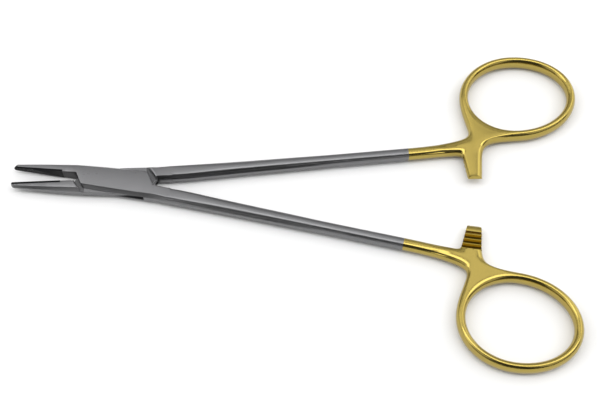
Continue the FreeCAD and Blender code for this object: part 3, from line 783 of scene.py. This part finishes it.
def grain_group():
    """Fine lengthwise brushing with cloudy patches, as a value and a height."""
    if "Satin grain" in bpy.data.node_groups:
        return bpy.data.node_groups["Satin grain"]
    group = bpy.data.node_groups.new("Satin grain", "ShaderNodeTree")
    for name, value in (("Scale", 1.0), ("Stretch", 6.0), ("Cloud", 0.5)):
        socket = group.interface.new_socket(name=name, in_out="INPUT", socket_type="NodeSocketFloat")
        socket.default_value = value
    for name in ("Value", "Height"):
        group.interface.new_socket(name=name, in_out="OUTPUT", socket_type="NodeSocketFloat")
    start = node_at(group, "NodeGroupInput")
    place = node_at(group, "ShaderNodeTexCoord")
    stretch = node_at(group, "ShaderNodeCombineXYZ", X=1.0)
    squash = node_at(group, "ShaderNodeVectorMath")
    squash.operation = "MULTIPLY"
    fine = node_at(group, "ShaderNodeTexNoise", Detail=4.0, Roughness=0.6)
    broad = node_at(group, "ShaderNodeTexNoise", Scale=140.0, Detail=3.0)
    mix = node_at(group, "ShaderNodeMix")
    mix.data_type = "FLOAT"
    end = node_at(group, "NodeGroupOutput")
    links = group.links
    links.new(start.outputs["Stretch"], stretch.inputs["Y"])
    links.new(start.outputs["Stretch"], stretch.inputs["Z"])
    links.new(place.outputs["Object"], squash.inputs[0])
    links.new(stretch.outputs["Vector"], squash.inputs[1])
    links.new(squash.outputs["Vector"], fine.inputs["Vector"])
    links.new(start.outputs["Scale"], fine.inputs["Scale"])
    links.new(place.outputs["Object"], broad.inputs["Vector"])
    links.new(start.outputs["Cloud"], mix.inputs["Factor"])
    links.new(fine.outputs["Fac"], mix.inputs["A"])
    links.new(broad.outputs["Fac"], mix.inputs["B"])
    links.new(mix.outputs["Result"], end.inputs["Value"])
    links.new(fine.outputs["Fac"], end.inputs["Height"])
    return group


def metal_material(name, base, roughness, scale, stretch, cloud, spread, bump):
    """A metal with grain in its roughness, its colour and its surface."""
    if name in bpy.data.materials:
        return bpy.data.materials[name]
    material = bpy.data.materials.new(name)
    material.use_nodes = True
    tree = material.node_tree
    shader = tree.nodes["Principled BSDF"]
    shader.inputs["Metallic"].default_value = 1.0
    grain = node_at(tree, "ShaderNodeGroup")
    grain.node_tree = grain_group()
    for key, value in (("Scale", scale), ("Stretch", stretch), ("Cloud", cloud)):
        grain.inputs[key].default_value = value
    rough = node_at(tree, "ShaderNodeMapRange", From_Min=0.3, From_Max=0.7,
                    To_Min=roughness * (1 - spread), To_Max=roughness * (1 + spread))
    tint = node_at(tree, "ShaderNodeMix")
    tint.data_type = "RGBA"
    shade = Vector(base[:3])
    tint.inputs["A"].default_value = (*(shade * (1 - 0.35 * spread)), 1)
    tint.inputs["B"].default_value = (*(shade * (1 + 0.2 * spread)), 1)
    surface = node_at(tree, "ShaderNodeBump", Strength=bump, Distance=0.02 * MM)
    links = tree.links
    links.new(grain.outputs["Value"], rough.inputs["Value"])
    links.new(rough.outputs["Result"], shader.inputs["Roughness"])
    links.new(grain.outputs["Value"], tint.inputs["Factor"])
    links.new(tint.outputs["Result"], shader.inputs["Base Color"])
    links.new(grain.outputs["Height"], surface.inputs["Height"])
    links.new(surface.outputs["Normal"], shader.inputs["Normal"])
    return material


def steel_material():
    finish = settings().finish
    return metal_material("Satin steel", finish.steel, finish.steel_roughness, **STEEL_GRAIN)


def gold_material():
    finish = settings().finish
    return metal_material("Gold plating", finish.gold, finish.gold_roughness, **GOLD_GRAIN)


def ratchet_material():
    """Plating that is dull and dark in the ratchet's teeth."""
    finish = settings().finish
    return metal_material("Ratchet plating", finish.ratchet, finish.ratchet_roughness, **RATCHET_GRAIN)


def gripping_side_painted_shade():
    """The steel of a gripping side, dull, and darkened as painted shade, since it faces the other jaw."""
    finish = settings().finish
    shade = [finish.painted_notch_darkening * part for part in finish.steel]
    return metal_material("Gripping side painted shade", shade, finish.steel_roughness, **STEEL_GRAIN)


def milled_painted_shade_material():
    """The ground faces of the tongue: a coarse milled hatching, which is real, and a darker steel, which is
    painted shade, as they lie low in the lock.
    """
    if "Milled band painted shade" in bpy.data.materials:
        return bpy.data.materials["Milled band painted shade"]
    finish = settings().finish
    shade = [finish.painted_milled_darkening * part for part in finish.steel]
    material = metal_material("Milled band painted shade", shade, finish.steel_roughness, **STEEL_GRAIN)
    tree = material.node_tree
    shader = tree.nodes["Principled BSDF"]
    place = node_at(tree, "ShaderNodeTexCoord")
    turn = node_at(tree, "ShaderNodeVectorRotate", Angle=math.radians(35))
    turn.rotation_type = "Z_AXIS"
    wave = node_at(tree, "ShaderNodeTexWave", Scale=950.0, Distortion=1.0, Detail=2.0)
    surface = node_at(tree, "ShaderNodeBump", Strength=1.0, Distance=0.035 * MM)
    links = tree.links
    links.new(place.outputs["Object"], turn.inputs["Vector"])
    links.new(turn.outputs["Vector"], wave.inputs["Vector"])
    links.new(wave.outputs["Fac"], surface.inputs["Height"])
    links.new(surface.outputs["Normal"], shader.inputs["Normal"])
    return material


def insert_material():
    finish = settings().finish
    return metal_material("Hard insert", finish.insert, finish.insert_roughness, **INSERT_GRAIN)


class NEEDLE_OT_arms(bpy.types.Operator):
    """Makes both arms."""

    bl_idname = "needle_holder.arms"
    bl_label = "Arms"

    def execute(self, context):
        shank = settings().shank
        make_arm("box_arm", 1, shank.plating_start_box)
        make_arm("tongue_arm", -1, shank.plating_start)
        return {"FINISHED"}


class NEEDLE_OT_inserts(bpy.types.Operator):
    """Makes the hard inserts of both jaws."""

    bl_idname = "needle_holder.inserts"
    bl_label = "Inserts"

    def execute(self, context):
        make_insert("box_jaw_insert", "box_half")
        make_insert("tongue_jaw_insert", "tongue_half")
        return {"FINISHED"}


class NEEDLE_OT_pin(bpy.types.Operator):
    """Gives the flush pin of the box lock its finish."""

    bl_idname = "needle_holder.pin"
    bl_label = "Pin"

    def execute(self, context):
        pin = bench_copy("pivot_pin")
        crown(pin)
        pin.data.materials.append(steel_material())
        pin.name = "pivot_pin_ground"
        finish_piece(pin, "pivot_pin", 30)
        crown_normals(pin, SIDES["pivot_pin"])
        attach(pin, BODIES["box_arm"])
        return {"FINISHED"}


class NEEDLE_OT_stage(bpy.types.Operator):
    """Sets up the floor, the light and the camera."""

    bl_idname = "needle_holder.stage"
    bl_label = "Stage"

    def execute(self, context):
        make_floor()
        make_light()
        make_camera()
        context.scene.view_settings.view_transform = "Standard"
        return {"FINISHED"}


def make_floor():
    finish = settings().finish
    bpy.ops.object.select_all(action="DESELECT")
    bpy.ops.mesh.primitive_plane_add(size=settings().stage.floor_size, location=STAGE_MIDDLE)
    floor = bpy.context.object
    floor.name = "floor"
    bpy.ops.object.transform_apply(location=True, rotation=True, scale=True)
    material = bpy.data.materials.new("Pale floor")
    material.use_nodes = True
    shader = material.node_tree.nodes["Principled BSDF"]
    shader.inputs["Base Color"].default_value = finish.floor
    shader.inputs["Roughness"].default_value = finish.floor_roughness
    floor.data.materials.append(material)


def add_lamp(name, azimuth, elevation, width, height, radiance):
    """A soft box a metre away, in a direction from the object and turned to it."""
    data = bpy.data.lights.new(name, "AREA")
    data.shape = "RECTANGLE"
    data.size = width
    data.size_y = height
    data.energy = radiance * width * height * math.pi
    run = math.cos(math.radians(elevation))
    away = Vector((run * math.cos(math.radians(azimuth)), run * math.sin(math.radians(azimuth)),
                   math.sin(math.radians(elevation))))
    lamp = bpy.data.objects.new(name, data)
    lamp.location = STAGE_MIDDLE + away
    lamp.rotation_euler = away.to_track_quat("Z", "Y").to_euler()
    bpy.context.scene.collection.objects.link(lamp)


def make_light():
    """A light tent, bright above, paler behind and beside, and dark where the camera looks in."""
    for name, values in LAMPS.items():
        add_lamp(name, *values)
    world = bpy.data.worlds.new("room")
    bpy.context.scene.world = world
    world.use_nodes = True
    background = world.node_tree.nodes["Background"]
    background.inputs["Color"].default_value = settings().finish.room
    background.inputs["Strength"].default_value = 1.0


def make_camera():
    """The camera at the photograph's angle, from a target, a distance and three turns."""
    stage = settings().stage
    sine, cosine = math.sin(stage.azimuth), math.cos(stage.azimuth)
    rise, run = math.sin(stage.elevation), math.cos(stage.elevation)
    back = Vector((sine * run, -cosine * run, rise))
    right = Vector((cosine, sine, 0))
    up = back.cross(right)
    axes = Matrix((right, up, back)).transposed() @ Matrix.Rotation(stage.roll, 3, "Z")
    data = bpy.data.cameras.new("camera")
    data.sensor_width = 36.0
    data.lens = stage.focal
    camera = bpy.data.objects.new("camera", data)
    camera.matrix_world = Matrix.Translation(Vector(stage.target) + back * stage.distance) @ axes.to_4x4()
    bpy.context.scene.collection.objects.link(camera)
    bpy.context.scene.camera = camera


class NEEDLE_PT_panel(bpy.types.Panel):
    """Lists the makers of the needle holder."""

    bl_idname = "NEEDLE_PT_panel"
    bl_label = "Needle holder"
    bl_space_type = "VIEW_3D"
    bl_region_type = "UI"
    bl_category = "Needle holder"

    def draw(self, context):
        for operator in OPERATORS:
            self.layout.operator(operator.bl_idname)
        for group in ("lock", "ring", "shank", "ratchet", "insert", "finish", "stage"):
            box = self.layout.box()
            box.label(text=group.capitalize())
            values = getattr(context.scene.needle_holder, group)
            for name in values.bl_rna.properties.keys():
                if name not in ("rna_type", "name"):
                    box.prop(values, name)


GROUPS = (NEEDLE_PG_lock, NEEDLE_PG_ring, NEEDLE_PG_shank, NEEDLE_PG_ratchet, NEEDLE_PG_insert,
          NEEDLE_PG_finish, NEEDLE_PG_stage, NEEDLE_PG_settings)
OPERATORS = (NEEDLE_OT_arms, NEEDLE_OT_inserts, NEEDLE_OT_pin, NEEDLE_OT_stage)


def register():
    for item in (*GROUPS, *OPERATORS, NEEDLE_PT_panel):
        bpy.utils.register_class(item)
    bpy.types.Scene.needle_holder = PointerProperty(type=NEEDLE_PG_settings)


def unregister():
    del bpy.types.Scene.needle_holder
    for item in reversed((*GROUPS, *OPERATORS, NEEDLE_PT_panel)):
        bpy.utils.unregister_class(item)


def main():
    register()
    bpy.ops.needle_holder.arms()
    bpy.ops.needle_holder.inserts()
    bpy.ops.needle_holder.pin()
    bpy.ops.needle_holder.stage()


if __name__ == "__main__":
    main()
